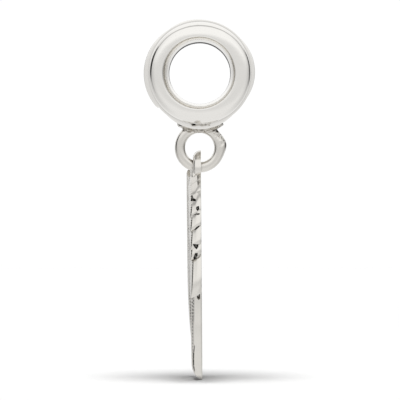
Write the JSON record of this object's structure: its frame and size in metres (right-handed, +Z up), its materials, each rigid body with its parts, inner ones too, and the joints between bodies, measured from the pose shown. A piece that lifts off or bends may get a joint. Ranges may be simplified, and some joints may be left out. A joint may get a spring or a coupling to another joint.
{
  "type": "dangle charm",
  "caption": "Polished silver large-hole bead with rolled rims and a soldered loop, from which a flat cast wing of layered feathers hangs by its own eyelet.",
  "frame": {"origin": "middle of the bead's bore, where the bracelet carries the charm", "axes": "+Z up, towards the top of the bead and away from the hanging wing; +Y along the bore, away from the picture's camera; +X to the right in the picture, where the wing's flat back faces"},
  "size_m": [0.0082, 0.0082, 0.0265],
  "materials": {
    "bead_silver": "polished",
    "wing_silver": "polished, darkened in the recesses"
  },
  "bodies": {
    "carrier": {"carrier_bead": "bead_silver"},
    "drop": {"wing_drop": "wing_silver"}
  },
  "joints": [
    {"name": "drop_swing", "type": "hinge", "parent": "carrier", "child": "drop", "pos_m": [0, 0, -0.00544], "axis": [0, 1, 0], "range_deg": [-115, 100]}
  ]
}
